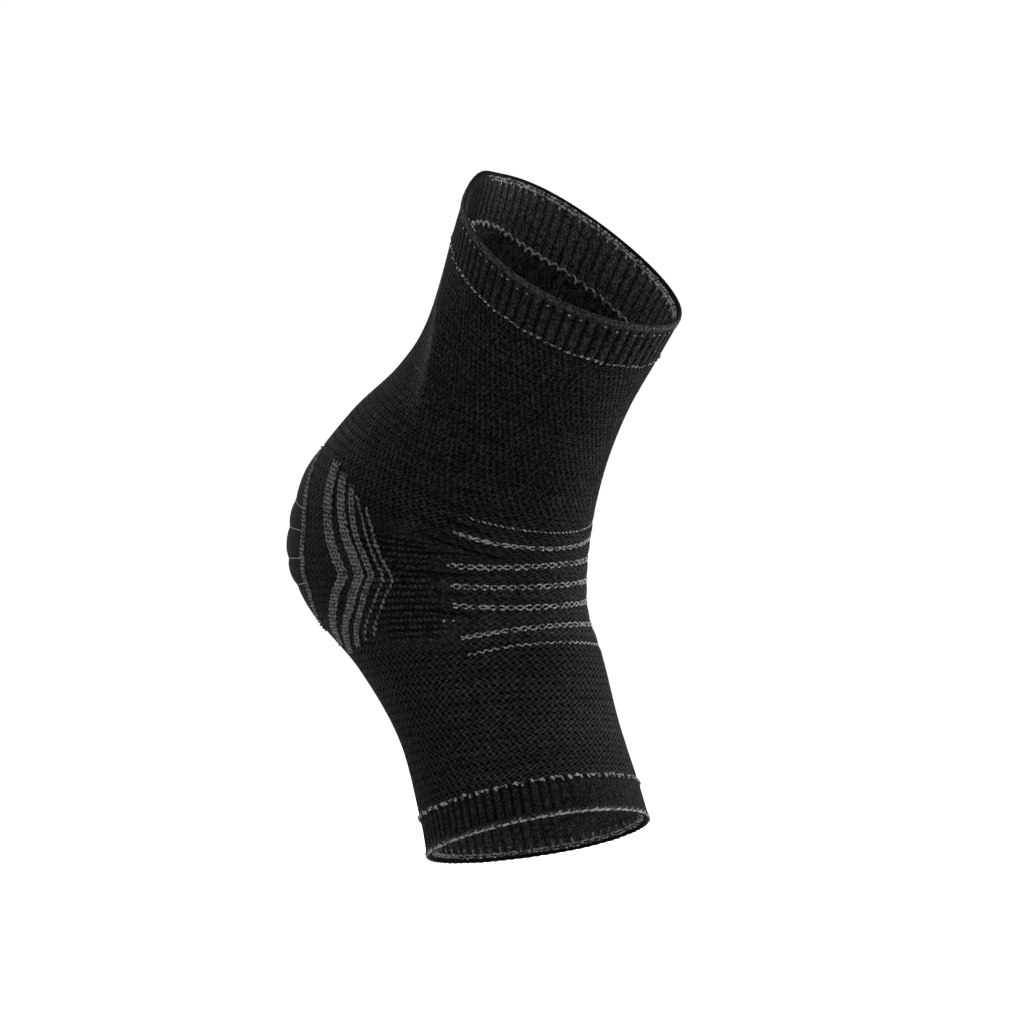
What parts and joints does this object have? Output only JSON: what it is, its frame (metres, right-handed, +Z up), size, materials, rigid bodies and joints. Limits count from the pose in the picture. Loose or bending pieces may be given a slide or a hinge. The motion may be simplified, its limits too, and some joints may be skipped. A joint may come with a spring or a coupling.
{
  "type": "ankle compression sleeve",
  "caption": "Knitted tubular ankle sleeve in its worn form, open at the leg and at the foot, with ribbed cuffs, raised instep courses and a quilted heel panel.",
  "frame": {"origin": "middle of the ankle joint, inside the sleeve, in its left-right middle plane", "axes": "+X to the toes, +Y to the wearer's left, +Z up, with the foot pointing down as in the picture"},
  "size_m": [0.1598, 0.0782, 0.2262],
  "materials": {
    "compression_knit": "matt black elastic knit with grey yarn courses",
    "heel_knit": "fine smooth black knit, quilted",
    "rib_knit": "ribbed black knit with grey yarn courses"
  },
  "bodies": {
    "root": {"sleeve_body": "compression_knit", "heel_panel": "heel_knit", "leg_cuff": "rib_knit", "foot_cuff": "rib_knit"}
  },
  "joints": []
}
